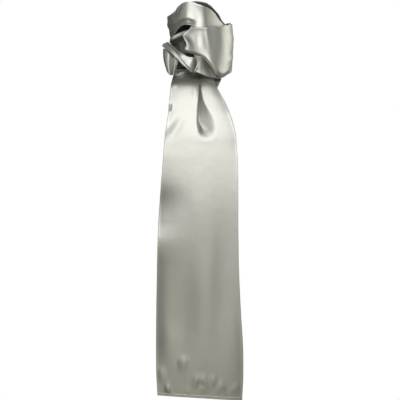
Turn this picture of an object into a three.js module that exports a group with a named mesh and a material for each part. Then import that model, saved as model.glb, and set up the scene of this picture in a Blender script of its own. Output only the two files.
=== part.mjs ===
// A satin evening stole as it is worn: one long strip of cloth wound round an empty neck,
// knotted at the front, with one long tail that falls from under the knot.
// Millimetres, +Z up, +X to the viewer's right, -Y towards the viewer.
// The origin is the middle of the neck opening.
import * as THREE from "three";

// Driving sizes
const WALL = 1.2; // the satin with its turned edges
const SEAM_GAP = 0.4; // clear space where two stretches meet
const HEM_DEPTH = 6; // height of the turned hem on the tail
const TAIL_TOP = -48; // where the tail comes out of the knot
const TAIL_END = -750; // the hem line at the middle of the tail
const TAIL_SECTIONS = 40;
const TAIL_COLUMNS = 30;
const PLEAT_SHARE = 0.6; // the share of the tail's columns to the left of its pleat
const TAIL_CROWDING = 1.45; // sections lie closer together near the knot
const HEM_START = 1 - 1 / TAIL_SECTIONS; // the hem is the tail's last step

// Names the columns of a table, so that each row is a section or a fold with named sizes.
const table = (columns, rows) =>
  rows.map((row) => Object.fromEntries(columns.map((name, i) => [name, row[i]])));

// The upper half of the neck wrap. Angles run from the front (0) to the right (90) and the back (180).
const UPPER_WRAP = table(
  ["angle", "topZ", "topR", "bellyR", "lowR", "lowZ"],
  [
    [-100, 57, 68, 67, 62, 5],
    [-80, 55, 69.5, 68, 63.5, 7],
    [-60, 61, 66, 67.5, 64, 16],
    [-45, 75, 60, 65.5, 64, 31],
    [-28, 82, 56, 63, 63, 39],
    [-13, 81, 55, 62, 62.5, 35],
    [-3, 77.5, 55, 61.2, 60.8, 26],
    [18, 69, 56, 61, 60, 19],
    [35, 58.5, 57, 60.5, 60, 18],
    [52, 41, 58, 60, 60, 16],
    [75, 33, 58, 60, 60, 12],
    [100, 35, 58, 60.5, 60, 10],
    [122, 47, 58, 61, 60, 10],
    [140, 68, 59, 62, 60, 11],
    [158, 86, 60, 63, 61, 12],
    [178, 92, 60, 63.5, 61, 12],
    [198, 92, 60, 64, 61, 12],
    [218, 84, 61, 65, 61.5, 11],
    [238, 68, 64, 67, 62, 8],
    [260, 57, 68, 67, 62, 5],
  ],
);

// The lower half of the neck wrap: it starts at the front left, stands out over the upper half on the
// right, passes behind the neck and comes back inside the upper half on the left.
const LOWER_WRAP = table(
  ["angle", "topZ", "topR", "bulge", "lowR", "lowZ"],
  [
    [-21, 31, 64, 3, 80, -22],
    [-9, 28.5, 63.5, 5, 86, -30],
    [8, 28, 63, 7, 92, -40],
    [18, 30, 64.5, 9, 92.5, -56],
    [28, 29.5, 67, 11, 88, -73],
    [40, 31, 69.5, 10, 79, -78],
    [58, 35, 70, 6, 72, -71],
    [80, 41, 68.5, 3.5, 68, -63],
    [104, 43, 66.5, 3, 65, -59],
    [122, 43, 66, 3, 63.5, -58],
    [140, 36, 66, 3, 62.5, -57.5],
    [160, 26, 66, 3, 61, -57],
    [182, 17, 65.5, 3, 60, -56],
    [205, 10.5, 62.5, 4, 59, -56],
    [230, 6, 59, 4, 58, -56],
    [255, 5, 57.5, 3.5, 57, -56],
    [280, 12, 57.5, 3, 56, -55],
    [300, 19.5, 57, 2.5, 55, -54],
    [318, 25, 55.5, 2, 54, -50],
    [332, 26, 54.5, 1, 54, -45],
    [348, 26, 54, 0.5, 53.5, -42],
  ],
);
// The wavy front left edge of the lower wrap: how far left it lies at each share of its height, from its top.
const LEFT_EDGE = table(
  ["share", "x"],
  [
    [0, -18],
    [0.2, -30],
    [0.38, -41],
    [0.57, -32.5],
    [0.77, -30],
    [1, -36],
  ],
);
const LEFT_EDGE_REACH = 14; // degrees of the wrap that the edge's waves reach
const FRONT_SEAM = 104; // angles where one stretch ends and the next begins
const BACK_SEAM = 205;

// The folds of the neck wrap, in and out along the radius.
const UPPER_FOLDS = table(
  ["angle", "reach", "drop", "breadth", "depth", "lean"],
  [
    [-74, 30, 0.6, 0.3, -2.6, 0.004],
    [-36, 10, 0.35, 0.6, 2.6, 0.012],
    [-12, 14, 0.45, 0.7, -1.6, 0],
    [11, 10, 0.4, 0.55, 2.2, 0],
    [150, 50, 0.36, 0.14, -2.4, 0.003],
    [185, 60, 0.66, 0.16, 2.2, -0.002],
    [232, 40, 0.3, 0.14, -2.2, 0.004],
  ],
);
const LOWER_FOLDS = table(
  ["angle", "reach", "drop", "breadth", "depth", "lean"],
  [
    [-15.5, 7, 0.6, 0.55, -4.5, 0],
    [-5, 9, 0.6, 0.7, 1.6, 0],
    [11, 9, 0.4, 0.65, 3.2, 0],
    [22, 11, 0.4, 0.6, -2.2, 0],
    [88, 30, 0.64, 0.16, -3, 0.002],
    [88, 36, 0.42, 0.16, 2.5, 0.002],
    [150, 44, 0.5, 0.16, -2.6, -0.003],
    [215, 46, 0.4, 0.18, -2.4, 0.002],
    [275, 40, 0.62, 0.2, -2, 0],
  ],
);

// The band across the bottom of the knot, from its open mouth on the left to its corner on the right.
const KNOT_BAND = table(
  ["x", "topY", "topZ", "lowY", "lowZ", "bulge"],
  [
    [-13, -81, -31, -95.5, -66, 1],
    [2, -82, -32, -87, -71.5, 3],
    [18, -81, -47, -78, -76.5, 3],
    [32, -76, -64, -71, -79, 2],
    [44, -68, -73, -64, -79.5, 0.8],
  ],
);
const MOUTH_INSET = 7; // how far the band's mouth curves in at half height
const MOUTH_SHARE = 0.35; // how much of the band that curve reaches

// The rolled fold that runs up to the left from the band's mouth. Its wall is open between its two edges:
// the front edge dips towards the mouth, so that the inside shows there.
const KNOT_ROLL = table(
  ["place", "x", "y", "z", "radius", "frontEdge"],
  [
    [0, -73, -73, -11, 5.8, 38],
    [1, -67, -82, -12.5, 6.2, 42],
    [2, -57, -89.5, -20, 5.4, 54],
    [3, -46, -93, -29.5, 5.8, 58],
    [4, -36, -94.5, -38.5, 7.6, 46],
    [5, -27, -94, -45.5, 10.5, 8],
    [6, -18, -92.5, -50, 13.4, -42],
    [7, -11, -91.5, -51.5, 14, -104],
    [8, -3, -90, -51.5, 14, -110],
  ],
);
const ROLL_BACK_EDGE = -235; // degrees from straight ahead, round under the roll

// The small ear of cloth that hangs from the left end of the roll.
const KNOT_EAR = table(
  ["place", "topX", "topY", "topZ", "lowX", "lowY", "lowZ"],
  [
    [0, -42, -82, -32, -53.5, -74, -69],
    [1, -52, -80.5, -25, -56, -84, -74],
    [2, -61, -75, -17, -60, -74, -73],
    [3, -69, -67, -13, -65, -79, -72],
    [4, -77, -56, -17, -71, -67, -62],
    [5, -71, -46, -15, -65, -50, -58],
    [6, -58, -36, -12, -57, -38, -54],
  ],
);

// The tail: where its edges and its middle lie at each height, and the deep pleat that the knot presses
// into it.
const TAIL = table(
  ["z", "left", "right", "front", "edgeBack", "pleat", "pleatX", "pleatHalf", "slant"],
  [
    [-48, -44, 30, -54, 7, 11, -2, 11, 0],
    [-66, -51, 33, -59, 8, 13, -1.5, 11, 0],
    [-84, -60, 35, -68, 10, 14, -0.5, 11, 0],
    [-104, -62.5, 38, -77, 10, 14, -0.5, 11, 0],
    [-126, -64, 50, -84.5, 9, 12, 0, 13, 0],
    [-150, -66.5, 61, -90.5, 8, 9, 4, 18, 0],
    [-180, -70.5, 71.5, -95.5, 6, 6, 10, 25, 0],
    [-210, -74, 76, -98, 5, 1.5, 15, 26, 0],
    [-250, -77.5, 79, -99, 4, 0, 15, 26, 0],
    [-320, -83, 80, -98, 4, 0, 15, 26, 0],
    [-400, -88, 80, -97, 4, 0, 15, 26, 0],
    [-480, -90, 81.5, -96, 4, 0, 15, 26, 0],
    [-560, -91.5, 85, -95, 4, 0, 15, 26, 0],
    [-640, -92, 90, -94, 3, 0, 15, 26, -2],
    [-700, -91.5, 90.5, -93, 3, 0, 15, 26, -4],
    [-750, -89, 88, -92, 2, 0, 15, 26, -5.5],
  ],
);
const TAIL_FOLDS = table(
  ["x", "z", "halfWidth", "halfHeight", "depth", "lean"],
  [
    [-62, -143, 9, 16, 4, 0.2],
    [-55, -180, 12, 30, 4, 0.7],
    [-62, -345, 40, 45, 5, 0.2],
    [-66, -425, 34, 34, -3.5, 0.2],
    [-30, -560, 34, 130, 4, 0],
    [-36, -682, 9, 26, -3, 0],
    [-8, -715, 10, 30, -3, -0.5],
    [26, -712, 10, 30, -3, 0.4],
    [54, -722, 9, 24, -3, 0.6],
    [-70, -720, 10, 30, -3, 0.1],
  ],
);

// The short end, which hangs behind the tail and shows only at the right, just under the knot.
const UNDER_END = table(
  ["z", "left", "right", "front", "pleat"],
  [
    [-52, -34, 40, -42, 3.5],
    [-78, -38, 46, -43, 4],
    [-100, -42, 37, -47, 5],
    [-130, -48, 38, -56, 5],
    [-165, -54, 47, -68, 5],
    [-200, -60, 56, -77, 5],
    [-270, -68, 66, -84, 3],
    [-330, -72, 70, -86, 2],
  ],
);
const UNDER_END_PLEATS = 2.5;

// A smooth value for every column at a place along a table's first column.
function alongTable(rows) {
  const columns = Object.keys(rows[0]);
  const key = columns[0];
  const last = rows.length - 1;
  const slope = (i, name) => {
    const before = rows[Math.max(i - 1, 0)];
    const after = rows[Math.min(i + 1, last)];
    return (after[name] - before[name]) / (after[key] - before[key]);
  };
  const rising = rows[last][key] > rows[0][key];
  return (place) => {
    let i = 0;
    while (i < last - 1 && (rising ? place > rows[i + 1][key] : place < rows[i + 1][key])) i += 1;
    const step = rows[i + 1][key] - rows[i][key];
    const p = (place - rows[i][key]) / step;
    const found = {};
    for (const name of columns) {
      const from = rows[i][name];
      const to = rows[i + 1][name];
      const leave = slope(i, name) * step;
      const arrive = slope(i + 1, name) * step;
      const rise = to - from;
      const square = 3 * rise - 2 * leave - arrive;
      const cube = leave + arrive - 2 * rise;
      found[name] = from + p * (leave + p * (square + p * cube));
    }
    return found;
  };
}

const mix = THREE.MathUtils.lerp;
const crown = (t) => 4 * t * (1 - t); // 0 at both edges, 1 in the middle
const swell = (d) => (Math.abs(d) < 1 ? (1 - d * d) ** 2 : 0); // a soft ridge, one unit to each side

function polar(angle, radius, z) {
  const a = THREE.MathUtils.degToRad(angle);
  return new THREE.Vector3(radius * Math.sin(a), -radius * Math.cos(a), z);
}

const foldDepth = (folds, angle, t) =>
  folds.reduce((sum, fold) => {
    const round = angle - fold.angle;
    const down = t - fold.drop - fold.lean * round;
    return sum + fold.depth * swell(round / fold.reach) * swell(down / fold.breadth);
  }, 0);

// Each surface below gives the middle of the cloth at s along a stretch and t across it, both from 0 to 1.
function upperWrap(fromAngle, toAngle) {
  const at = alongTable(UPPER_WRAP);
  return (s, t) => {
    const angle = mix(fromAngle, toAngle, s);
    const row = at(angle);
    const belly = row.bellyR - (row.topR + row.lowR) / 2;
    const radius = mix(row.topR, row.lowR, t) + belly * crown(t) + foldDepth(UPPER_FOLDS, angle, t);
    return polar(angle, radius, mix(row.topZ, row.lowZ, t));
  };
}

function lowerWrap(fromAngle, toAngle) {
  const at = alongTable(LOWER_WRAP);
  const edgeAt = alongTable(LEFT_EDGE);
  const first = LOWER_WRAP[0].angle;
  return (s, t) => {
    const angle = mix(fromAngle, toAngle, s);
    const row = at(angle);
    const radius = mix(row.topR, row.lowR, t) + row.bulge * crown(t) + foldDepth(LOWER_FOLDS, angle, t);
    const point = polar(angle, radius, mix(row.topZ, row.lowZ, t));
    const nearEdge = swell((angle - first) / LEFT_EDGE_REACH);
    point.x += nearEdge * (edgeAt(t).x - polar(first, radius, 0).x);
    return point;
  };
}

function knotBand() {
  const at = alongTable(KNOT_BAND);
  const left = KNOT_BAND[0].x;
  const right = KNOT_BAND.at(-1).x;
  return (s, t) => {
    const row = at(mix(left, right, s));
    const mouth = MOUTH_INSET * crown(t) * swell(s / MOUTH_SHARE);
    const y = mix(row.topY, row.lowY, t) - row.bulge * crown(t);
    return new THREE.Vector3(row.x + mouth, y, mix(row.topZ, row.lowZ, t));
  };
}

function knotRoll() {
  const at = alongTable(KNOT_ROLL);
  const end = KNOT_ROLL.at(-1).place;
  const centre = (place) => {
    const row = at(place);
    return new THREE.Vector3(row.x, row.y, row.z);
  };
  const up = new THREE.Vector3(0, 0, 1);
  return (s, t) => {
    const place = s * end;
    const row = at(place);
    const ahead = centre(Math.min(place + 0.02, end)).sub(centre(Math.max(place - 0.02, 0))).normalize();
    const outward = new THREE.Vector3().crossVectors(ahead, up).normalize();
    const upward = new THREE.Vector3().crossVectors(outward, ahead).normalize();
    const turn = THREE.MathUtils.degToRad(mix(ROLL_BACK_EDGE, row.frontEdge, t));
    return centre(place)
      .addScaledVector(outward, row.radius * Math.cos(turn))
      .addScaledVector(upward, row.radius * Math.sin(turn));
  };
}

function knotEar() {
  const at = alongTable(KNOT_EAR);
  const end = KNOT_EAR.at(-1).place;
  return (s, t) => {
    const row = at(s * end);
    return new THREE.Vector3(
      mix(row.topX, row.lowX, t),
      mix(row.topY, row.lowY, t),
      mix(row.topZ, row.lowZ, t),
    );
  };
}

// The tail's sections crowd towards the knot, and the last of them is the hem's fold line.
function tailHeight(s) {
  const foldLine = TAIL_END + HEM_DEPTH;
  if (s > HEM_START) return mix(foldLine, TAIL_END, (s - HEM_START) / (1 - HEM_START));
  return mix(TAIL_TOP, foldLine, (s / HEM_START) ** TAIL_CROWDING);
}

function tail() {
  const at = alongTable(TAIL);
  return (s, t) => {
    const row = at(tailHeight(s));
    const isLeft = t < PLEAT_SHARE;
    const x = isLeft
      ? mix(row.left, row.pleatX, t / PLEAT_SHARE)
      : mix(row.pleatX, row.right, (t - PLEAT_SHARE) / (1 - PLEAT_SHARE));
    const across = (2 * x - row.left - row.right) / (row.right - row.left);
    const z = row.z + row.slant * across;
    let y = row.front + row.edgeBack * across ** 2;
    y += row.pleat * swell((x - row.pleatX) / row.pleatHalf);
    for (const fold of TAIL_FOLDS) {
      const down = (z - fold.z) / fold.halfHeight;
      const over = (x - fold.x - fold.lean * (z - fold.z)) / fold.halfWidth;
      y += fold.depth * swell(down) * swell(over);
    }
    return new THREE.Vector3(x, y, z);
  };
}

function tailHem() {
  const panel = tail();
  return (s, t) => {
    const along = mix(HEM_START, 1, s);
    return panel(along, t).addScaledVector(normalAt(panel, along, t), -(WALL + SEAM_GAP));
  };
}

function underEnd() {
  const at = alongTable(UNDER_END);
  const top = UNDER_END[0].z;
  const end = UNDER_END.at(-1).z;
  return (s, t) => {
    const row = at(mix(top, end, s));
    const y = row.front + row.pleat * Math.cos(2 * Math.PI * UNDER_END_PLEATS * t);
    return new THREE.Vector3(mix(row.left, row.right, t), y, row.z);
  };
}

function normalAt(surface, s, t) {
  const step = 0.002;
  const alongS = surface(Math.min(s + step, 1), t).sub(surface(Math.max(s - step, 0), t));
  const acrossT = surface(s, Math.min(t + step, 1)).sub(surface(s, Math.max(t - step, 0)));
  return acrossT.cross(alongS).normalize();
}

// Turns a surface into a closed wall of cloth: two faces half a wall to each side, and a rim between them.
function clothWall(surface, sSteps, tSteps) {
  const positions = [];
  const triangles = [];
  const row = tSteps + 1;
  const face = (sSteps + 1) * row;
  for (const side of [0.5, -0.5]) {
    for (let i = 0; i <= sSteps; i += 1) {
      for (let j = 0; j <= tSteps; j += 1) {
        const s = i / sSteps;
        const t = j / tSteps;
        const point = surface(s, t).addScaledVector(normalAt(surface, s, t), side * WALL);
        positions.push(point.x, point.y, point.z);
      }
    }
  }
  const quad = (a, b, c, d) => triangles.push(a, b, c, a, c, d);
  for (let i = 0; i < sSteps; i += 1) {
    for (let j = 0; j < tSteps; j += 1) {
      const a = i * row + j;
      quad(a, a + 1, a + row + 1, a + row);
      quad(face + a, face + a + row, face + a + row + 1, face + a + 1);
    }
  }
  const rim = [];
  for (let j = 0; j < tSteps; j += 1) rim.push(j);
  for (let i = 0; i < sSteps; i += 1) rim.push(i * row + tSteps);
  for (let j = tSteps; j > 0; j -= 1) rim.push(sSteps * row + j);
  for (let i = sSteps; i > 0; i -= 1) rim.push(i * row);
  rim.forEach((a, n) => {
    const b = rim[(n + 1) % rim.length];
    quad(b, a, face + a, face + b);
  });
  const geometry = new THREE.BufferGeometry();
  geometry.setAttribute("position", new THREE.Float32BufferAttribute(positions, 3));
  geometry.setIndex(triangles);
  geometry.computeVertexNormals();
  return geometry;
}

const satin = new THREE.MeshStandardMaterial({ color: 0xa9a99b, roughness: 0.34, metalness: 0.1 });
const stole = new THREE.Group();

function addStretch(name, surface, sSteps, tSteps) {
  const stretch = new THREE.Mesh(clothWall(surface, sSteps, tSteps), satin.clone());
  stretch.name = name;
  stole.add(stretch);
}

const seamAngle = THREE.MathUtils.radToDeg(SEAM_GAP / UPPER_WRAP[0].topR); // the seam gap as an angle
const upperFirst = UPPER_WRAP[0].angle;
const upperLast = UPPER_WRAP.at(-1).angle;
const lowerFirst = LOWER_WRAP[0].angle;
const lowerLast = LOWER_WRAP.at(-1).angle;
addStretch("neck_wrap_upper_front", upperWrap(upperFirst, FRONT_SEAM - seamAngle), 24, 8);
addStretch("neck_wrap_upper_back", upperWrap(FRONT_SEAM, upperLast - seamAngle), 18, 8);
addStretch("neck_wrap_lower_front", lowerWrap(lowerFirst, FRONT_SEAM - seamAngle), 20, 12);
addStretch("neck_wrap_lower_back", lowerWrap(FRONT_SEAM, BACK_SEAM - seamAngle), 12, 8);
addStretch("neck_wrap_lower_left", lowerWrap(BACK_SEAM, lowerLast), 16, 7);
addStretch("knot_band", knotBand(), 10, 8);
addStretch("knot_roll", knotRoll(), 24, 14);
addStretch("knot_ear", knotEar(), 18, 5);
addStretch("tail", tail(), TAIL_SECTIONS, TAIL_COLUMNS);
addStretch("tail_hem", tailHem(), 1, TAIL_COLUMNS);
addStretch("under_end", underEnd(), 14, 16);

export default stole;
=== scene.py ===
# %% [markdown]
# # A satin evening stole
# The stole is one long strip of satin. It is wound once into an open loop for the neck and knotted at the
# front, and one long tail falls from under the knot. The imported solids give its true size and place, as
# plain walls. This lesson makes a finer shell of cloth on each of those walls, with the creases, rolled
# edges and sewing that the real one has, and gives it a satin finish.

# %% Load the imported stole
import math

import bmesh
import bpy
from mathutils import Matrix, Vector


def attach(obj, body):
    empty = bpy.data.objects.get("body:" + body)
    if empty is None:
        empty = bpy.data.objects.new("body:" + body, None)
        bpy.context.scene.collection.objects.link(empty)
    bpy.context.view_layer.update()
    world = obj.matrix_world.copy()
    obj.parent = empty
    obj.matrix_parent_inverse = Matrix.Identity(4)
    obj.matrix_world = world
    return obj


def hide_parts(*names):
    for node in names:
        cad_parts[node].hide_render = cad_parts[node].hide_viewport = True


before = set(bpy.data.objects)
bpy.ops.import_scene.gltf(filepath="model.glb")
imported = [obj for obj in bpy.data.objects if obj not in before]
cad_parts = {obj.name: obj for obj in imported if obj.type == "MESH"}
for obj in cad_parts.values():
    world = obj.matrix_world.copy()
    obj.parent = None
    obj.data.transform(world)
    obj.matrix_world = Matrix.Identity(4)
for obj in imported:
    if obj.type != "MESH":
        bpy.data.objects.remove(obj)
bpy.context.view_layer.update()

MM = 0.001  # the sizes below are in millimetres, and Blender works in metres
print("solids:", ", ".join(sorted(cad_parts)))

# %% [markdown]
# ## The camera
# A long lens far away gives the flat view of a shop picture. The camera looks straight along +Y, level
# with the middle of the tail, and its view is 840 mm wide at the front of the tail.

# %% Camera
VIEW_WIDTH = 840 * MM
VIEW_DISTANCE = 4920 * MM
TAIL_FRONT = -80 * MM
VIEW_HEIGHT = -336 * MM
SENSOR_WIDTH = 36

lens = bpy.data.cameras.new("camera")
lens.sensor_width = SENSOR_WIDTH
lens.lens = SENSOR_WIDTH * VIEW_DISTANCE / VIEW_WIDTH
camera = bpy.data.objects.new("camera", lens)
camera.location = (0, TAIL_FRONT - VIEW_DISTANCE, VIEW_HEIGHT)
camera.rotation_euler = (math.pi / 2, 0, 0)
bpy.context.scene.collection.objects.link(camera)
bpy.context.scene.camera = camera
print(f"camera: {lens.lens:.0f} mm lens, {VIEW_DISTANCE:.2f} m from the tail")

# %% [markdown]
# ## Sections and soft folds
# Cloth has few straight lines, so each stretch is described by a short table of sections, and a smooth
# curve through every column gives the sections between them. A fold is a soft ridge or trough with a
# place, a length, a width and a height. Formulas like these keep the shape easy to change: one row is one
# section or one fold that a hand could point at.


# %% Tables, smooth curves and soft ridges
def table(columns, rows):
    return [dict(zip(columns.split(), row)) for row in rows]


def mix(start, end, share):
    return start + (end - start) * share


def crown(share):
    """0 at both edges and 1 in the middle."""
    return 4 * share * (1 - share)


def swell(distance):
    """A soft ridge that is 1 in the middle and 0 from one unit on."""
    return (1 - distance * distance) ** 2 if abs(distance) < 1 else 0.0


def ease(share):
    """Rises smoothly from 0 to 1."""
    share = min(max(share, 0.0), 1.0)
    return share * share * (3 - 2 * share)


def along(rows):
    """A function that gives every column at any place along a table's first column."""
    columns = list(rows[0])
    key, last = columns[0], len(rows) - 1
    sign = 1 if rows[last][key] > rows[0][key] else -1

    def slope(i, name):
        before, after = rows[max(i - 1, 0)], rows[min(i + 1, last)]
        return (after[name] - before[name]) / (after[key] - before[key])

    def at(place):
        i = 0
        while i < last - 1 and sign * place > sign * rows[i + 1][key]:
            i += 1
        step = rows[i + 1][key] - rows[i][key]
        p = (place - rows[i][key]) / step
        found = {}
        for name in columns:
            rise = rows[i + 1][name] - rows[i][name]
            leave, arrive = slope(i, name) * step, slope(i + 1, name) * step
            square, cube = 3 * rise - 2 * leave - arrive, leave + arrive - 2 * rise
            found[name] = rows[i][name] + p * (leave + p * (square + p * cube))
        return found

    return at


def creased(creases, x, z):
    """How far the creases of a stretch lift its cloth at a place x across and z up."""
    lift = 0.0
    for crease in creases:
        tilt = math.radians(crease["tilt"])
        over, up = x - crease["x"], z - crease["z"]
        lengthways = over * math.cos(tilt) + up * math.sin(tilt)
        crossways = up * math.cos(tilt) - over * math.sin(tilt)
        lift += (
            crease["lift"]
            * swell(lengthways / crease["half_length"])
            * swell(crossways / crease["half_width"])
        )
    return lift


print("a soft ridge at half its width:", swell(0.5))

# %% [markdown]
# ## A shell of cloth
# Satin is thin, but its long edges are turned and pressed, so they are thicker and round, and they catch
# the light as a fine bright line, which the satin finish adds to with a painted highlight. Each stretch
# starts as a flat grid, which is bent to its formula. A Solidify modifier then gives it thickness, thin in
# the middle and thicker along the edges, and a Subdivision Surface rounds it. The grid's UV map is the
# flat cloth itself, in metres, so that the weave keeps its real size on every stretch. Where the dull
# wrong side of the satin shows, the cloth takes its second material there, whose dark colour is painted
# shade.

# %% Cloth
CLOTH_THICKNESS = 1.0
EDGE_THICKNESS = 2.6
EDGE_REACH = 4.0  # how far the thicker edge reaches into the cloth
STEP = 0.002  # for slopes, as a share of a stretch
WELD = 0.05  # how close the two ends of a ring lie before they are joined


def normal_at(surface, s, t):
    """The direction square to a surface."""
    lengthways = surface(min(s + STEP, 1), t) - surface(max(s - STEP, 0), t)
    crossways = surface(s, min(t + STEP, 1)) - surface(s, max(t - STEP, 0))
    return crossways.cross(lengthways).normalized()


def cloth(name, surface, steps, cut, ring=False, edge=EDGE_THICKNESS, inside_dull_and_shaded=False, dull_and_shaded=None):
    """A shell of cloth on surface(s, t), cut to (length along s, width along t).

    The inner face takes the second material, matte and darkened as painted shade, when its flag says so,
    and the outer face where the mask of (s, t) says so.
    """
    length, width = cut
    bm = bmesh.new()
    uv = bm.loops.layers.uv.new("cloth")
    bmesh.ops.create_grid(bm, x_segments=steps[0], y_segments=steps[1], size=0.5, calc_uvs=True)
    # near_edge thickens the edges here, and in the satin it paints them lighter as a highlight
    near_edge = bm.verts.layers.float.new("near_edge")
    edge_weight = bm.verts.layers.deform.verify()
    for face in bm.faces:
        face.smooth = True
        middle = face.calc_center_median()
        # material 1 is the wrong side, dark as painted shade
        face.material_index = 1 if dull_and_shaded and dull_and_shaded(middle.x + 0.5, middle.y + 0.5) else 0
        for loop in face.loops:
            place = loop.vert.co
            loop[uv].uv = ((place.x + 0.5) * length * MM, (place.y + 0.5) * width * MM)
    for vert in bm.verts:
        s, t = vert.co.x + 0.5, vert.co.y + 0.5
        inwards = min(t, 1 - t) * width
        if not ring:
            inwards = min(inwards, min(s, 1 - s) * length)
        nearness = max(0.0, 1 - inwards / EDGE_REACH) ** 2
        vert[near_edge] = nearness
        vert[edge_weight][0] = nearness
        vert.co = surface(s, t) * MM
    if ring:
        bmesh.ops.remove_doubles(bm, verts=bm.verts, dist=WELD * MM)
    bmesh.ops.recalc_face_normals(bm, faces=bm.faces)
    mesh = bpy.data.meshes.new(name)
    bm.to_mesh(mesh)
    bm.free()
    piece = bpy.data.objects.new(name, mesh)
    bpy.context.scene.collection.objects.link(piece)
    piece.vertex_groups.new(name="edge")
    wall = piece.modifiers.new("wall", "SOLIDIFY")
    wall.thickness = edge * MM
    wall.offset = 0
    wall.vertex_group = "edge"
    wall.thickness_vertex_group = CLOTH_THICKNESS / edge
    # the inner face can take the wrong side, whose dark colour is painted shade
    wall.material_offset = 1 if inside_dull_and_shaded else 0
    rounding = piece.modifiers.new("rounding", "SUBSURF")
    rounding.levels = rounding.render_levels = 1
    area = sum(face.area for face in mesh.polygons)
    print(f"{name}: {len(mesh.polygons)} faces, {area * 1e4:.0f} square cm of cloth")
    return piece


# %% [markdown]
# ## The upper half of the neck wrap
# The strip is folded along its length where it goes round the neck. Its upper half stands up like a
# collar: highest at the back, slanting down to the right at the front, and hooded at the left, where its
# lower edge lifts and a groove runs above the lip. A ring of sections round the neck gives that form.
# Angles are in degrees and run from the front to the right and round the back.

# %% Upper neck wrap
UPPER_WRAP = table(
    "angle top_z top_r belly_r low_r low_z",
    [
        [-100, 57, 68, 67, 62, 5],
        [-80, 55, 69.5, 68, 63.5, 7],
        [-60, 61, 66, 67.5, 64, 14],
        [-45, 75, 62, 65.5, 66, 26],
        [-28, 82, 64, 68, 70, 33.5],
        [-13, 81, 60.5, 64, 66.5, 31],
        [-3, 77.5, 58.5, 63, 66, 26],
        [9, 73, 58, 62.5, 65, 22],
        [20, 68.5, 56, 60.5, 62, 19],
        [35, 58.5, 54, 58, 59.5, 18],
        [52, 41, 56, 58, 59, 16],
        [75, 33, 58, 60, 60, 12],
        [100, 35, 58, 60.5, 60, 10],
        [122, 47, 58, 61, 60, 10],
        [140, 68, 57, 62, 60, 11],
        [158, 86, 52, 63, 61, 12],
        [178, 92, 50, 63.5, 61, 12],
        [198, 92, 51, 64, 61, 12],
        [218, 84, 57, 65, 61.5, 11],
        [238, 68, 63, 67, 62, 8],
        [260, 57, 68, 67, 62, 5],
    ],
)
UPPER_CREASES = table(
    "x z half_length half_width lift tilt",
    [
        [-80, 28, 34, 11, -2.8, 8],
        [-46, 56, 34, 14, 1.6, 70],
        [4, 52, 40, 20, 1.4, 104],
        [-58, 63, 9, 3.2, -1.4, 70],
        [-50, 68, 9, 3.0, 1.6, 76],
        [-44, 74, 10, 2.8, -1.4, 80],
        [-38, 78, 7, 2.8, 1.2, 85],
        [-96, 36, 18, 6, 1.4, 22],
        [-76, 46, 17, 4, -1.2, -26],
        [128, 34, 32, 6, -1.8, 12],
        [150, 56, 34, 6, -2.0, 24],
        [178, 42, 36, 6, 1.8, -6],
        [196, 70, 32, 7, -2.2, -4],
        [214, 30, 34, 6, 1.6, 9],
        [246, 52, 28, 6, -1.9, -16],
        [236, 24, 26, 5, -1.4, 4],
    ],
)
ARC = 1.08  # millimetres of arc for each degree round the neck
HOOD = (-98, -6)  # angles between which a groove runs above the lower edge
HOOD_GROOVE = 5.5
GROOVE_PLACE = 0.86  # how far down the wrap the groove lies, as a share of its height
GROOVE_BREADTH = 0.16
FULL_TURN = 360


def polar(angle, radius, z):
    turn = math.radians(angle)
    return Vector((radius * math.sin(turn), -radius * math.cos(turn), z))


def closed_ring(rows):
    """The same sections with one more before the first and after the last, so that a ring closes."""
    before = dict(rows[-2], angle=rows[-2]["angle"] - FULL_TURN)
    after = dict(rows[1], angle=rows[1]["angle"] + FULL_TURN)
    return [before, *rows, after]


def window(angle, limits, soft=16):
    """1 between two angles, easing to 0 at both."""
    return ease((angle - limits[0]) / soft) * ease((limits[1] - angle) / soft)


upper_at = along(closed_ring(UPPER_WRAP))


def upper_wrap(s, t):
    angle = mix(UPPER_WRAP[0]["angle"], UPPER_WRAP[-1]["angle"], s)
    row = upper_at(angle)
    z = mix(row["top_z"], row["low_z"], t)
    belly = row["belly_r"] - (row["top_r"] + row["low_r"]) / 2
    radius = mix(row["top_r"], row["low_r"], t) + belly * crown(t)
    radius += creased(UPPER_CREASES, angle * ARC, z)
    radius -= HOOD_GROOVE * window(angle, HOOD) * swell((t - GROOVE_PLACE) / GROOVE_BREADTH)
    return polar(angle, radius, z)


# the inside of the upper wrap takes the wrong side, painted dark as shade
upper_piece = cloth("upper_wrap_cloth", upper_wrap, (200, 28), (392, 62), ring=True, inside_dull_and_shaded=True)
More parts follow.
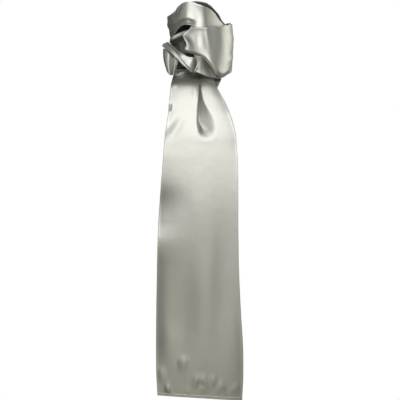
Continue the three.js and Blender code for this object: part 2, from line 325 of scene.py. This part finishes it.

# %% [markdown]
# ## The lower half of the neck wrap
# The lower half stands out over the upper one on the right, with a folded rim. At the front left it ends
# in a wavy edge, and its lower edge slants down to the right over the knot. It goes on round the back and
# comes forward again inside the hood. There its rim leans back and catches the light, and the cloth below
# the rim is drawn into the knot with its dull side out. That side is painted dark as shade, so the hollow
# beside the wavy edge is dark.

# %% Lower neck wrap
LOWER_WRAP = table(
    "angle top_z top_r bulge low_r low_z",
    [
        [-21, 31, 67, 1, 73, -22],
        [-9, 28.5, 67, 2, 72.5, -30],
        [8, 28, 67.5, 2, 74.5, -40],
        [18, 30, 66.5, 1, 78.5, -56],
        [28, 29.5, 67.5, 1.5, 79.5, -73],
        [40, 31, 69.5, 3, 76, -78],
        [58, 35, 70, 4, 71, -71],
        [80, 41, 68.5, 3.5, 68, -63],
        [104, 43, 66.5, 3, 65, -59],
        [122, 43, 66, 3, 63.5, -58],
        [140, 36, 66, 3, 62.5, -57.5],
        [160, 26, 66, 3, 61, -57],
        [182, 18, 66, 3, 60, -56],
        [205, 15, 65.5, 3, 59.5, -56],
        [228, 13.5, 65, 2.5, 59, -56],
        [242, 11, 65, 2.5, 58.5, -56],
        [252, 6.5, 64, 2.5, 58, -56],
        [261, 1.5, 61, 3, 57.5, -55],
        [269, 3.5, 58, 3, 57, -55],
        [278, 7, 59.5, 3, 57, -55],
        [288, 6, 66, 1, 60, -55],
        [298, 7, 70, 0.5, 62, -55],
        [306, 10.5, 71.5, 0.5, 61, -54],
        [312, 15, 66, 0.5, 59, -53],
        [318, 19, 61, 0.5, 57, -52],
        [326, 22, 57.5, 0.5, 55, -50],
        [338, 24, 55, 0.5, 54, -46],
        [348, 25, 54, 0.5, 53.5, -42],
    ],
)
LEFT_EDGE = table(
    "share x",
    [
        [0, -18],
        [0.14, -24],
        [0.27, -32.5],
        [0.36, -36.5],
        [0.46, -35.5],
        [0.57, -32],
        [0.72, -29.5],
        [0.86, -31],
        [0.95, -33],
        [1, -33.5],
    ],
)
LEFT_EDGE_REACH = 14  # degrees of the wrap that the edge's waves reach
LOWER_CREASES = table(
    "x z half_length half_width lift tilt",
    [
        [-19, -5, 27, 7, -5.0, 97],
        [-2, -2, 36, 16, 1.6, 92],
        [15, 8, 34, 7, 1.2, 96],
        [58, 2, 34, 12, -0.6, 128],
        [66, -38, 26, 9, 1.0, 20],
        [82, -22, 26, 8, -1.6, 12],
        [88, 8, 30, 9, 1.2, -12],
        [78, -54, 22, 7, -1.4, 24],
        [104, -38, 30, 8, -1.8, 6],
        [122, 16, 34, 7, -2.0, -10],
        [140, -12, 40, 8, 2.2, 4],
        [158, -36, 36, 7, -2.2, -6],
        [186, -4, 34, 7, -2.0, 10],
        [204, -30, 38, 8, 2.2, -4],
        [232, -14, 30, 7, -2.0, 8],
        [252, -38, 34, 7, 1.8, -8],
        [282, -18, 34, 8, -1.8, 10],
    ],
)
LEANING_RIM = (270, 342)  # angles between which the rim inside the hood leans back
LEAN_EASE = 12  # degrees in which the lean comes and goes
RIM_LEAN = 0.42  # how far it leans, for each millimetre of its height
RIM_DEPTH = 6  # the height of that rim
DRAWN_IN = (276, 352)  # angles between which the cloth under the rim is drawn into the knot
DRAWN_DEPTH = 16
DRAWN_EASE = 9  # millimetres of height in which it draws in
TURNED_SHADED_FROM = 283  # from this angle on, the cloth under the rim has its dull side out, painted dark as shade
TURNED_SHADED_BELOW = 0.12  # how far down that starts, as a share of the wrap's height
SUNK_RIM = (-16, 15)  # angles between which the top edge runs smoothly into the upper half
SUNK_EASE = 8
SUNK_DEPTH = 0.7
SUNK_SHARE = 0.14
LOWER_LIP = (-40, 74)  # angles between which the lower edge rolls in
LIP_ROLL = 5
LIP_START = 0.88  # how far down the wrap the roll starts

lower_at = along(LOWER_WRAP)
left_edge_at = along(LEFT_EDGE)


def lower_angle(s):
    return mix(LOWER_WRAP[0]["angle"], LOWER_WRAP[-1]["angle"], s)


def lower_wrap(s, t):
    first, angle = lower_angle(0), lower_angle(s)
    row = lower_at(angle)
    z = mix(row["top_z"], row["low_z"], t)
    radius = mix(row["top_r"], row["low_r"], t) + row["bulge"] * crown(t)
    radius += creased(LOWER_CREASES, angle * ARC, z)
    below = row["top_z"] - z
    radius += RIM_LEAN * window(angle, LEANING_RIM, LEAN_EASE) * min(below, RIM_DEPTH)
    radius -= DRAWN_DEPTH * window(angle, DRAWN_IN) * ease((below - RIM_DEPTH) / DRAWN_EASE)
    radius -= SUNK_DEPTH * window(angle, SUNK_RIM, SUNK_EASE) * ease(1 - t / SUNK_SHARE)
    radius -= LIP_ROLL * window(angle, LOWER_LIP) * ease((t - LIP_START) / (1 - LIP_START)) ** 2
    point = polar(angle, radius, z)
    near_edge = swell((angle - first) / LEFT_EDGE_REACH)
    point.x += near_edge * (left_edge_at(t)["x"] - polar(first, radius, 0).x)
    return point


def turned_out_and_shaded(s, t):
    """Where the wrong side of the lower wrap faces out, in a dark colour that is painted shade."""
    return lower_angle(s) > TURNED_SHADED_FROM and t > TURNED_SHADED_BELOW


lower_piece = cloth(
    "lower_wrap_cloth", lower_wrap, (210, 34), (420, 82), inside_dull_and_shaded=True, dull_and_shaded=turned_out_and_shaded
)

# %% [markdown]
# ## The knot
# Three stretches of the strip show in the knot. A band crosses its bottom and opens at the left in a
# mouth with a rounded lip. A rolled fold runs from that mouth up to the left: its wall is open along the
# top, and the front edge dips towards the mouth so that the bright inside shows. A small pleated ear
# hangs from its left end.

# %% Knot band
KNOT_BAND = table(
    "x top_y top_z low_y low_z bulge",
    [
        [-13, -90, -33, -101, -66.5, 1],
        [-4, -79, -33.5, -91, -69.5, 1],
        [6, -66.5, -34.5, -77, -73, 1],
        [18, -59, -47, -66, -77, 1],
        [32, -56, -64, -59, -79.5, 0.8],
        [44, -52, -73, -52, -80, 0.5],
    ],
)
MOUTH_INSET = 7  # how far the mouth curves in at half height
MOUTH_SHARE = 0.35  # how much of the band that curve reaches
LIP_FLARE = 3.5  # how far the lip turns out
LIP_SHARE = 0.12  # how much of the band the lip takes up
BAND_EDGE = 3.6
BAND_CREASES = table(
    "x z half_length half_width lift tilt",
    [[6, -58, 20, 4, -1.2, -38], [16, -66, 18, 3, 0.9, -34]],
)
band_at = along(KNOT_BAND)


def knot_band(s, t):
    row = band_at(mix(KNOT_BAND[0]["x"], KNOT_BAND[-1]["x"], s))
    x = row["x"] + MOUTH_INSET * crown(t) * swell(s / MOUTH_SHARE)
    z = mix(row["top_z"], row["low_z"], t)
    y = mix(row["top_y"], row["low_y"], t) - row["bulge"] * crown(t) - creased(BAND_CREASES, x, z)
    y -= LIP_FLARE * crown(t) * ease(1 - s / LIP_SHARE) ** 2
    return Vector((x, y, z))


band_piece = cloth("knot_band_cloth", knot_band, (48, 28), (66, 30), edge=BAND_EDGE)

# %% Knot roll
KNOT_ROLL = table(
    "place back_x back_y back_z low_x low_y low_z front_x front_y front_z",
    [
        [0, -74, -66, -6.5, -78.5, -70, -10.5, -77, -70.5, -8],
        [0.6, -68, -62, -3.5, -77, -73, -14, -73, -72.5, -7.5],
        [1.6, -53, -75, -16, -61.5, -87, -26.5, -57.5, -86.5, -20],
        [2.6, -38.5, -90, -28, -47.5, -94, -40, -43, -93.5, -34.5],
        [3.6, -25, -92, -35.5, -34, -97, -54, -30, -98.5, -49.5],
        [4.6, -10, -90, -37.5, -16, -94.5, -66, -14.5, -98, -63.5],
        [5.6, 4, -58, -39, 0, -74, -66, 1, -76, -64],
    ],
)
ROLL_EDGE = 4.2
roll_at = along(KNOT_ROLL)


def point_of(row, part):
    return Vector((row[part + "_x"], row[part + "_y"], row[part + "_z"]))


def knot_roll(s, t):
    row = roll_at(s * KNOT_ROLL[-1]["place"])
    back, low, front = (point_of(row, part) for part in ("back", "low", "front"))
    pull = 2 * low - (back + front) / 2
    return back * (1 - t) ** 2 + pull * (2 * t * (1 - t)) + front * t**2


roll_piece = cloth("knot_roll_cloth", knot_roll, (70, 36), (96, 44), edge=ROLL_EDGE)

# %% Knot ear
KNOT_EAR = table(
    "place top_x top_y top_z low_x low_y low_z",
    [
        [0, -44, -80, -34, -54, -80, -70],
        [1, -50, -80, -30, -56.5, -83, -73],
        [2, -54, -70, -26, -58.5, -71, -73.5],
        [3, -58, -69, -23, -60, -79, -74],
        [4, -66, -70, -19.5, -63, -84, -74],
        [5, -74, -65, -17, -67, -79, -69],
        [6, -77, -55, -17, -70, -66, -61],
        [7, -71, -46, -15, -65, -50, -58],
        [8, -58, -37, -12, -57, -39, -54],
    ],
)
EAR_BULGE = 3
PLEATED_SHARE = 0.3  # the share of the ear with sharp pleats, before the bulge
ear_at = along(KNOT_EAR)


def knot_ear(s, t):
    row = ear_at(s * KNOT_EAR[-1]["place"])
    point = point_of(row, "top").lerp(point_of(row, "low"), t)
    point.x -= EAR_BULGE * crown(t) * ease((s - PLEATED_SHARE) / PLEATED_SHARE)
    return point


ear_piece = cloth("knot_ear_cloth", knot_ear, (72, 28), (86, 50))

# %% [markdown]
# ## The tail
# The tail comes out of the knot narrow and deeply pleated, bulges forward under it and hangs flat and
# wide below. The knot presses one deep pleat into its middle. Long shallow drape folds, a few pulled
# creases at the left and puckers over the hem break up the light on it.

# %% Tail
TAIL_TOP = -60
TAIL_END = -750
HEM_DEPTH = 6
TAIL_SECTIONS = 150
TAIL_CROWDING = 1.45  # sections lie closer together near the knot
PLEAT_CURVE = 1.4  # 1 gives the pleat flat flanks, and more hollows them
UNDERCUT = 0.45  # how far the pleat runs in under its left side, as a share of its depth
PLEAT_SHARE = 0.6  # the share of the tail's columns to the left of its pleat
PLEAT_CROWDING = 0.045  # columns lie closer together near a deep pleat
HEM_START = 1 - 2 / TAIL_SECTIONS
TAIL = table(
    "z left right front left_back right_back pleat pleat_x pleat_left pleat_right slant",
    [
        [-60, -53, 27, -40, 6, 0, 1, -1, 5, 5, 0],
        [-72, -56.5, 28, -44, 6, 1, 4, -0.5, 5, 5, 0],
        [-79, -58.3, 29, -51, 6, 2, 9, 0, 3, 3, 0],
        [-84, -59.5, 30, -61, 4, 2, 12, 0, 3, 3, 0],
        [-88, -60.3, 31, -70, 3, 3, 13, 0, 3, 3, 0],
        [-92, -61, 32.5, -75.5, 2, 3, 14, 0, 3, 3, 0],
        [-98, -61.8, 35, -79.5, 2, 3, 14, 0, 3, 3, 0],
        [-105, -62.5, 38.5, -82.2, 2, 3, 14, 0, 3, 3, 0],
        [-112, -63.2, 42.5, -84.2, 2, 3, 14, 0, 3, 4, 0],
        [-119, -63.9, 46.5, -86, 2, 3, 13.5, -0.5, 3, 5.5, 0],
        [-126, -64.5, 50.5, -87.5, 1.5, 3, 12.5, -1, 3, 8, 0],
        [-140, -66, 57.5, -90.3, 1, 3, 11.5, -2, 3.5, 16, 0],
        [-155, -67, 63, -93.3, 1, 2, 10.5, -2, 4.5, 26, 0],
        [-170, -69, 68.5, -96, 1, 2, 9, 0, 7, 32, 0],
        [-185, -71.5, 72.5, -98.4, 1, 2, 6.4, 5, 11, 29, 0],
        [-198, -73.3, 75, -100.2, 1.5, 2, 2.4, 10, 14, 23, 0],
        [-208, -74.4, 76.2, -101.4, 2, 2, 0, 14, 15, 20, 0],
        [-222, -75.3, 77, -102.6, 2, 2, 0, 14, 15, 20, 0],
        [-250, -77.5, 79, -105, 2, 1, 0, 14, 15, 20, 0],
        [-300, -81.5, 80, -108.5, 5, 0, 0, 14, 15, 20, 0],
        [-340, -84.5, 80, -110.5, 13, 0, 0, 14, 15, 20, 0],
        [-380, -87, 80, -111.5, 9, 0, 0, 14, 15, 20, 0],
        [-425, -88.7, 80.5, -112, 3, 0, 0, 14, 15, 20, 0],
        [-480, -90, 81.5, -112, 11, 0, 0, 14, 15, 20, 0],
        [-560, -91.5, 85, -111, 13, 0, 0, 14, 15, 20, 0],
        [-640, -92, 90, -109.5, 11, 1, 0, 14, 15, 20, -2],
        [-700, -91.5, 90.5, -108, 6, 2, 0, 14, 15, 20, -4],
        [-750, -89, 88, -106.5, 4, 3, 0, 14, 15, 20, -5.5],
    ],
)
TAIL_CREASES = table(
    "x z half_length half_width lift tilt",
    [
        [-41, -66, 11, 3.6, 4.0, 24],
        [-45, -81, 12, 3.2, 4.0, 4],
        [-46, -73, 13, 4, -3.0, 12],
        [-10, -106, 30, 10, 1.0, 92],
        [-54, -90, 16, 10, 1.6, 76],
        [-63, -142, 10, 4, -2.6, 84],
        [-63, -178, 40, 17, 1.3, 57],
        [-51, -186, 40, 17, -1.3, 57],
        [12, -430, 190, 40, 1.2, 92],
        [48, -520, 170, 30, -1.4, 88],
        [-34, -560, 150, 44, -3.6, 90],
        [-64, -640, 60, 30, 2.0, 84],
        [66, -640, 100, 26, 1.2, 93],
    ],
)
PUCKERS = table(
    "x low_z length half_width lift tilt",
    [
        [-36, -703, 46, 15, 2, 2],
        [-78, -724, 44, 13.1, 1.4, -6],
        [-18, -733, 40, 11.2, 1.7, 26],
        [20, -738, 44, 11.2, 1.7, -24],
        [29, -733, 34, 11.2, 1.5, -4],
        [56, -742, 34, 9.4, 1.4, -32],
        [-74, -743, 22, 7.5, 1, 26],
        [-66, -742, 24, 7.5, 1.1, -8],
        [-58, -743, 20, 7.5, 1, -38],
        [3, -743, 20, 9.4, 1, 10],
        [40, -743, 20, 9.4, 1, -14],
        [-26, -743, 16, 7.5, 0.8, -4],
        [66, -743, 18, 7.5, 0.8, 6],
        [80, -741, 24, 9.4, 0.9, -18],
    ],
)
PUCKER_CREST = 0.36  # how far down a pucker stands out most, as a share of its length
SHOULDER_LIFT = 3  # how much higher the shoulder lies in the middle of each side than at the pleat
SHOULDER_Z = -95
SHOULDER_REACH = 60
PLEAT_SOFTENS = (-165, -195)  # the heights between which the sharp pleat turns into a soft bowl
tail_at = along(TAIL)


def tail_height(s):
    """The sections crowd towards the knot, and the last two steps are the hem."""
    fold_line = TAIL_END + HEM_DEPTH
    if s > HEM_START:
        return mix(fold_line, TAIL_END, (s - HEM_START) / (1 - HEM_START))
    return mix(TAIL_TOP, fold_line, (s / HEM_START) ** TAIL_CROWDING)


def puckered(x, z):
    """How far the puckers over the hem stand out: quickly down to their crest, then slowly back."""
    lift = 0.0
    for pucker in PUCKERS:
        tilt = math.radians(pucker["tilt"])
        over, up = x - pucker["x"], z - pucker["low_z"]
        down = 1 - (up * math.cos(tilt) + over * math.sin(tilt)) / pucker["length"]
        crossways = over * math.cos(tilt) - up * math.sin(tilt)
        if 0 < down < 1:
            stand = ease(down / PUCKER_CREST) * ease((1 - down) / (1 - PUCKER_CREST))
            lift += pucker["lift"] * stand * swell(crossways / pucker["half_width"])
    return lift


def tail(s, t):
    row = tail_at(tail_height(s))
    crowding = 1 + PLEAT_CROWDING * row["pleat"]
    if t < PLEAT_SHARE:
        x = mix(row["pleat_x"], row["left"], (1 - t / PLEAT_SHARE) ** crowding)
    else:
        x = mix(row["pleat_x"], row["right"], ((t - PLEAT_SHARE) / (1 - PLEAT_SHARE)) ** crowding)
    across = (2 * x - row["left"] - row["right"]) / (row["right"] - row["left"])
    z = row["z"] + row["slant"] * across
    beside = x - row["pleat_x"]
    flank = row["pleat_right"] if beside > 0 else row["pleat_left"]
    reach = row["left"] if beside < 0 else row["right"]
    rise = SHOULDER_LIFT * crown(beside / (reach - row["pleat_x"]))
    rise *= swell((z - SHOULDER_Z) / SHOULDER_REACH)
    front = tail_at(row["z"] - rise)["front"]
    sharp = max(0.0, 1 - abs(beside) / flank) ** PLEAT_CURVE
    softness = ease((PLEAT_SOFTENS[0] - z) / (PLEAT_SOFTENS[0] - PLEAT_SOFTENS[1]))
    hollow = mix(sharp, swell(beside / flank), softness)
    x -= UNDERCUT * row["pleat"] * sharp**2 * (1 - softness)
    y = front + row["pleat"] * hollow
    y += row["left_back"] * max(0.0, -across) ** 2 + row["right_back"] * max(0.0, across) ** 4
    return Vector((x, y - creased(TAIL_CREASES, x, z) - puckered(x, z), z))


tail_piece = cloth("tail_cloth", tail, (TAIL_SECTIONS, 70), (720, 182))

# %% [markdown]
# The end of the tail is turned up in a narrow hem. It is a strip of its own that lies on the tail's last
# few millimetres, so it follows every pucker.

# %% Tail hem
HEM_GAP = 0.5
HEM_LIFT = CLOTH_THICKNESS + HEM_GAP
HEM_EDGE = 1.8


def tail_hem(s, t):
    down = mix(HEM_START, 1, s)
    return tail(down, t) - HEM_LIFT * normal_at(tail, down, t)


hem_piece = cloth("tail_hem_cloth", tail_hem, (4, 140), (HEM_DEPTH, 180), edge=HEM_EDGE)

# %% [markdown]
# A row of machine stitches holds the hem. Each stitch is a short thread, thicker in its middle, so a
# small sphere drawn out along the hem serves for it, and one mesh holds the whole row.

# %% Hem stitches
STITCH_LENGTH = 2.4
STITCH_PITCH = 3.2
STITCHED_WIDTH = 178
THREAD = 0.5
STITCH_LINE = 0.25  # how far down the hem the stitches run, as a share of its depth


def hem_stitches(count):
    bm = bmesh.new()
    for i in range(count):
        t = (i + 0.5) / count
        place = tail_hem(STITCH_LINE, t)
        ahead = tail_hem(STITCH_LINE, t + 0.5 / count) - tail_hem(STITCH_LINE, t - 0.5 / count)
        outward = -normal_at(tail_hem, STITCH_LINE, t)
        made = bmesh.ops.create_uvsphere(bm, u_segments=6, v_segments=5, radius=0.5 * MM)
        turn = ahead.to_track_quat("X", "Z").to_matrix().to_4x4()
        bmesh.ops.scale(bm, verts=made["verts"], vec=(STITCH_LENGTH, THREAD, THREAD))
        bmesh.ops.transform(bm, verts=made["verts"], matrix=turn)
        lifted = place + outward * (CLOTH_THICKNESS / 2 + THREAD / 4)
        bmesh.ops.translate(bm, verts=made["verts"], vec=lifted * MM)
    for face in bm.faces:
        face.smooth = True
    mesh = bpy.data.meshes.new("hem_stitches")
    bm.to_mesh(mesh)
    bm.free()
    piece = bpy.data.objects.new("hem_stitches", mesh)
    bpy.context.scene.collection.objects.link(piece)
    print(f"hem: {count} stitches, {STITCH_PITCH} mm apart")
    return piece


stitches_piece = hem_stitches(round(STITCHED_WIDTH / STITCH_PITCH))

# %% [markdown]
# ## The short end
# The other end of the strip hangs behind the tail. Only its right edge shows, in the shadow under the
# knot, but it is there from the back and the sides, softly pleated.

# %% Under end
UNDER_END = table(
    "z left right front pleat",
    [
        [-59, -34, 40, -33, 1],
        [-78, -38, 46, -36, 1.5],
        [-100, -42, 37, -44, 4],
        [-130, -48, 38, -56, 5],
        [-165, -54, 47, -68, 5],
        [-200, -60, 56, -77, 5],
        [-270, -68, 66, -84, 3],
        [-330, -72, 70, -86, 2],
    ],
)
UNDER_END_PLEATS = 2.5
under_at = along(UNDER_END)


def under_end(s, t):
    row = under_at(mix(UNDER_END[0]["z"], UNDER_END[-1]["z"], s))
    y = row["front"] + row["pleat"] * math.cos(2 * math.pi * UNDER_END_PLEATS * t)
    return Vector((mix(row["left"], row["right"], t), y, row["z"]))


under_piece = cloth("under_end_cloth", under_end, (60, 60), (290, 150))

# %% [markdown]
# ## Shader maths
# A material is easier to read as arithmetic than as a web of nodes. This small class wraps one socket.
# Adding, subtracting and multiplying wrapped values makes the Math nodes, and one method makes any other
# node from its type, its settings and its inputs.


# %% A value in a shader
class Value:
    def __init__(self, tree, socket=None):
        self.tree = tree
        self.socket = socket

    def node(self, kind, settings=None, inputs=None, output=0):
        made = self.tree.nodes.new(kind)
        for name, setting in (settings or {}).items():
            if name == "stops":
                for stop, (place, colour) in zip(made.color_ramp.elements, setting):
                    stop.position, stop.color = place, colour
            else:
                setattr(made, name, setting)
        for name, given in (inputs or {}).items():
            socket = next(s for s in made.inputs if s.enabled and name in (s.name, s.identifier))
            if isinstance(given, Value):
                self.tree.links.new(given.socket, socket)
            else:
                socket.default_value = given
        return Value(self.tree, made.outputs[output] if made.outputs else None)

    def maths(self, operation, first, second):
        made = self.node("ShaderNodeMath", {"operation": operation})
        for socket, given in zip(made.socket.node.inputs, (first, second)):
            if isinstance(given, Value):
                self.tree.links.new(given.socket, socket)
            else:
                socket.default_value = given
        return made

    def __add__(self, other):
        return self.maths("ADD", self, other)

    def __radd__(self, other):
        return self.maths("ADD", other, self)

    def __sub__(self, other):
        return self.maths("SUBTRACT", self, other)

    def __rsub__(self, other):
        return self.maths("SUBTRACT", other, self)

    def __mul__(self, other):
        return self.maths("MULTIPLY", self, other)

    def __rmul__(self, other):
        return self.maths("MULTIPLY", other, self)


print("a value can be added, subtracted and multiplied")

# %% [markdown]
# ## Satin
# Satin has long threads that float over the weave, so it shines in broad soft bands and shows fine
# streaks along the strip. The streaks come from a noise that is drawn out along the cloth's own UV map.
# They vary the colour and the gloss a little and raise a very fine bump. Slow changes of tone and faint
# crumpling keep it from looking like one flat colour, and the turned edges get a painted highlight. The
# wrong side of the cloth is dull, and its dark colour is painted shade: it shows inside the loop and in
# the hollow beside the knot.

# %% Satin finish
SATIN_LIGHT = (0.68, 0.68, 0.645, 1)
SATIN_DARK = (0.56, 0.555, 0.50, 1)
# painted highlight: the lighter colour towards which the turned edges are mixed
SATIN_EDGE_HIGHLIGHT = (0.78, 0.78, 0.73, 1)
# painted shade: the wrong side is far darker than the satin, so the loop's inside and the hollow by the
# knot stay dark
WRONG_SIDE_SHADE_LIGHT = (0.15, 0.15, 0.135, 1)
WRONG_SIDE_SHADE_DARK = (0.1, 0.1, 0.088, 1)
THREADS_DRAWN = (40, 2600, 1)  # how often the noise changes in a metre along and across the cloth
SLUBS_DRAWN = (14, 420, 1)
TONE_SCALE = 9.0
CRUMPLE_SCALE = 55.0
TONE_SHADE, SLUBS_SHADE, THREADS_SHADE = 0.6, 0.25, 0.15
SLUBS_GLOSS, THREADS_GLOSS, EDGE_GLOSS = 0.04, 0.06, 0.05
CRUMPLE_HEIGHT, SLUBS_HEIGHT, THREADS_HEIGHT = 0.0005, 0.00008, 0.00006  # in metres
EDGE_HIGHLIGHT_SHARE = 0.5


def satin_finish(name, light, dark, rough, metal):
    material = bpy.data.materials.new(name)
    material.use_nodes = True
    tree = material.node_tree
    tree.nodes.clear()
    shader = Value(tree)
    flat = shader.node("ShaderNodeUVMap", {"uv_map": "cloth"})
    place = shader.node("ShaderNodeTexCoord", output=3)
    drawn_out = shader.node("ShaderNodeMapping", {}, {"Vector": flat, "Scale": THREADS_DRAWN})
    threads = shader.node("ShaderNodeTexNoise", {}, {"Vector": drawn_out, "Scale": 1.0, "Detail": 2.0})
    slubs_map = shader.node("ShaderNodeMapping", {}, {"Vector": flat, "Scale": SLUBS_DRAWN})
    slubs = shader.node("ShaderNodeTexNoise", {}, {"Vector": slubs_map, "Scale": 1.0, "Detail": 1.0})
    tone = shader.node("ShaderNodeTexNoise", {}, {"Vector": place, "Scale": TONE_SCALE, "Detail": 2.0})
    crumple = shader.node(
        "ShaderNodeTexNoise",
        {},
        {"Vector": place, "Scale": CRUMPLE_SCALE, "Detail": 3.0, "Roughness": 0.45},
    )
    edge = shader.node("ShaderNodeAttribute", {"attribute_name": "near_edge"}, output=2)
    shade = tone * TONE_SHADE + slubs * SLUBS_SHADE + threads * THREADS_SHADE
    body = shader.node(
        "ShaderNodeMix",
        {"data_type": "RGBA"},
        {"Factor_Float": shade, "A_Color": dark, "B_Color": light},
        output=2,
    )
    # painted highlight: the cloth near its edges is mixed towards a lighter colour, as if it caught the
    # light
    colour = shader.node(
        "ShaderNodeMix",
        {"data_type": "RGBA"},
        {"Factor_Float": edge * EDGE_HIGHLIGHT_SHARE, "A_Color": body, "B_Color": SATIN_EDGE_HIGHLIGHT},
        output=2,
    )
    gloss = rough + threads * THREADS_GLOSS + slubs * SLUBS_GLOSS - edge * EDGE_GLOSS
    height = threads * THREADS_HEIGHT + slubs * SLUBS_HEIGHT + crumple * CRUMPLE_HEIGHT
    bump = shader.node("ShaderNodeBump", {}, {"Height": height, "Strength": 0.55, "Distance": 1.0})
    surface = shader.node(
        "ShaderNodeBsdfPrincipled",
        {},
        {
            "Base Color": colour,
            "Roughness": gloss,
            "Normal": bump,
            "Metallic": metal,
            "Specular IOR Level": 0.6,
            "Sheen Weight": 0.12,
            "Sheen Roughness": 0.4,
        },
    )
    shader.node("ShaderNodeOutputMaterial", {}, {"Surface": surface})
    print(f"{name}: {len(tree.nodes)} nodes")
    return material


satin = satin_finish("satin", SATIN_LIGHT, SATIN_DARK, rough=0.47, metal=0.8)
# the wrong side is dull, and its dark colours are painted shade
wrong_side_and_shade = satin_finish("satin_wrong_side_and_shade", WRONG_SIDE_SHADE_LIGHT, WRONG_SIDE_SHADE_DARK, rough=0.62, metal=0.5)

# %% [markdown]
# The sewing thread is a shade lighter than the cloth and less shiny, with a fine twist across it.

# %% Sewing thread
THREAD_COLOUR = (0.55, 0.55, 0.49, 1)
THREAD_SHADE = (0.42, 0.42, 0.37, 1)


def thread_finish(name):
    material = bpy.data.materials.new(name)
    material.use_nodes = True
    tree = material.node_tree
    tree.nodes.clear()
    shader = Value(tree)
    place = shader.node("ShaderNodeTexCoord", output=3)
    twist = shader.node("ShaderNodeTexWave", {}, {"Vector": place, "Scale": 900.0, "Distortion": 2.0})
    colour = shader.node(
        "ShaderNodeMix",
        {"data_type": "RGBA"},
        {"Factor_Float": twist, "A_Color": THREAD_SHADE, "B_Color": THREAD_COLOUR},
        output=2,
    )
    surface = shader.node(
        "ShaderNodeBsdfPrincipled", {}, {"Base Color": colour, "Roughness": 0.5 + twist * 0.1}
    )
    shader.node("ShaderNodeOutputMaterial", {}, {"Surface": surface})
    return material


thread = thread_finish("sewing_thread")
print("finishes:", satin.name, wrong_side_and_shade.name, thread.name)

# %% [markdown]
# ## Putting the stole together
# Every piece rides on the imported body and stands for the solids that it covers. The list gives each
# stretch with the size of the cloth that shows in it, laid flat.

STRETCHES = [
    (upper_piece, ["neck_wrap_upper_front", "neck_wrap_upper_back"], (0.062, 0.392), "draped", [], []),
    (
        lower_piece,
        ["neck_wrap_lower_front", "neck_wrap_lower_back", "neck_wrap_lower_left"],
        (0.082, 0.42),
        "draped",
        [upper_piece],
        [],
    ),
    (band_piece, ["knot_band"], (0.03, 0.066), "folded", [lower_piece], []),
    (roll_piece, ["knot_roll"], (0.044, 0.096), "folded", [band_piece], []),
    (ear_piece, ["knot_ear"], (0.05, 0.086), "gathered", [roll_piece], []),
    (tail_piece, ["tail"], (0.182, 0.72), "hung", [band_piece], [hem_piece, stitches_piece]),
    (under_piece, ["under_end"], (0.15, 0.29), "hung", [band_piece], []),
]
for piece, nodes, flat, held, rests_on, sewn_on in STRETCHES:
    piece.data.materials.append(satin)
    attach(piece, "root")
    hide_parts(*nodes)
# the inner faces and the turned-out cloth take the wrong side, whose dark colour is painted shade
for piece in (upper_piece, lower_piece):
    piece.data.materials.append(wrong_side_and_shade)
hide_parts("tail_hem")
for piece, finish in ((hem_piece, satin), (stitches_piece, thread)):
    piece.data.materials.append(finish)
    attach(piece, "root")
print(f"{len(STRETCHES)} stretches of cloth, a hem and its stitches")

# %% [markdown]
# ## The studio
# The stole hangs in front of white, over a plain pale floor. One large soft light stands in front and a
# little above, so that cloth which faces the viewer and leans back is brightest and the lower tail falls
# off. A low warm light keeps the lower tail from going black, and weaker lights at both sides and behind
# round off the folds. The world gives a little even light, and the camera sees it as plain white.

# %% Floor, lights and world
FLOOR_DEPTH = -1.45
FLOOR_RADIUS = 0.45
FLOOR_COLOUR = (0.86, 0.86, 0.85, 1)
FLOOR_ROUGHNESS = 0.8


def pale_floor():
    bm = bmesh.new()
    bmesh.ops.create_circle(bm, cap_ends=True, segments=96, radius=FLOOR_RADIUS)
    bmesh.ops.translate(bm, verts=bm.verts, vec=(0, 0, FLOOR_DEPTH))
    mesh = bpy.data.meshes.new("floor")
    bm.to_mesh(mesh)
    bm.free()
    floor = bpy.data.objects.new("floor", mesh)
    bpy.context.scene.collection.objects.link(floor)
    paint = bpy.data.materials.new("floor_paint")
    paint.use_nodes = True
    shader = paint.node_tree.nodes["Principled BSDF"]
    shader.inputs["Base Color"].default_value = FLOOR_COLOUR
    shader.inputs["Roughness"].default_value = FLOOR_ROUGHNESS
    mesh.materials.append(paint)


def soft_light(name, place, aim, size, power, colour=(1, 1, 1)):
    lamp = bpy.data.lights.new(name, "AREA")
    lamp.shape = "RECTANGLE"
    lamp.size, lamp.size_y = size
    lamp.energy = power
    lamp.color = colour
    light = bpy.data.objects.new(name, lamp)
    light.location = place
    light.rotation_euler = (Vector(aim) - Vector(place)).to_track_quat("-Z", "Y").to_euler()
    bpy.context.scene.collection.objects.link(light)


WARM = (1.0, 0.985, 0.8)
MILD = (1.0, 0.995, 0.93)
pale_floor()
soft_light("key", place=(-0.06, -1.4, 0.33), aim=(0, -0.08, -0.12), size=(0.45, 0.5), power=10.0)
soft_light(
    "low_fill", place=(-0.05, -1.5, -0.8), aim=(0, -0.1, -0.6), size=(0.5, 0.4), power=1.7, colour=WARM
)
soft_light(
    "right_fill", place=(1.28, 0.2, 0.12), aim=(0, 0, -0.1), size=(1.0, 0.9), power=7, colour=MILD
)
soft_light(
    "left_fill", place=(-1.3, -0.6, 0.2), aim=(0, 0, -0.2), size=(0.6, 0.6), power=1.4, colour=MILD
)
soft_light("back_light", place=(0.3, 1.6, 0.9), aim=(0, 0, -0.2), size=(0.8, 0.8), power=20)

WORLD_LIGHT = 0.03
world = bpy.data.worlds.new("studio")
world.use_nodes = True
world.node_tree.nodes.clear()
bpy.context.scene.world = world
sky = Value(world.node_tree)
seen = sky.node("ShaderNodeLightPath", output=0)
even = sky.node("ShaderNodeBackground", {}, {"Color": (1, 1, 1, 1), "Strength": WORLD_LIGHT})
white = sky.node("ShaderNodeBackground", {}, {"Color": (1, 1, 1, 1), "Strength": 1.0})
mixed = sky.node("ShaderNodeMixShader", {}, {"Fac": seen, "Shader": even, "Shader_001": white})
sky.node("ShaderNodeOutputWorld", {}, {"Surface": mixed})
bpy.context.scene.view_settings.view_transform = "Standard"
print("studio: one key light, four weaker lights and an even world")
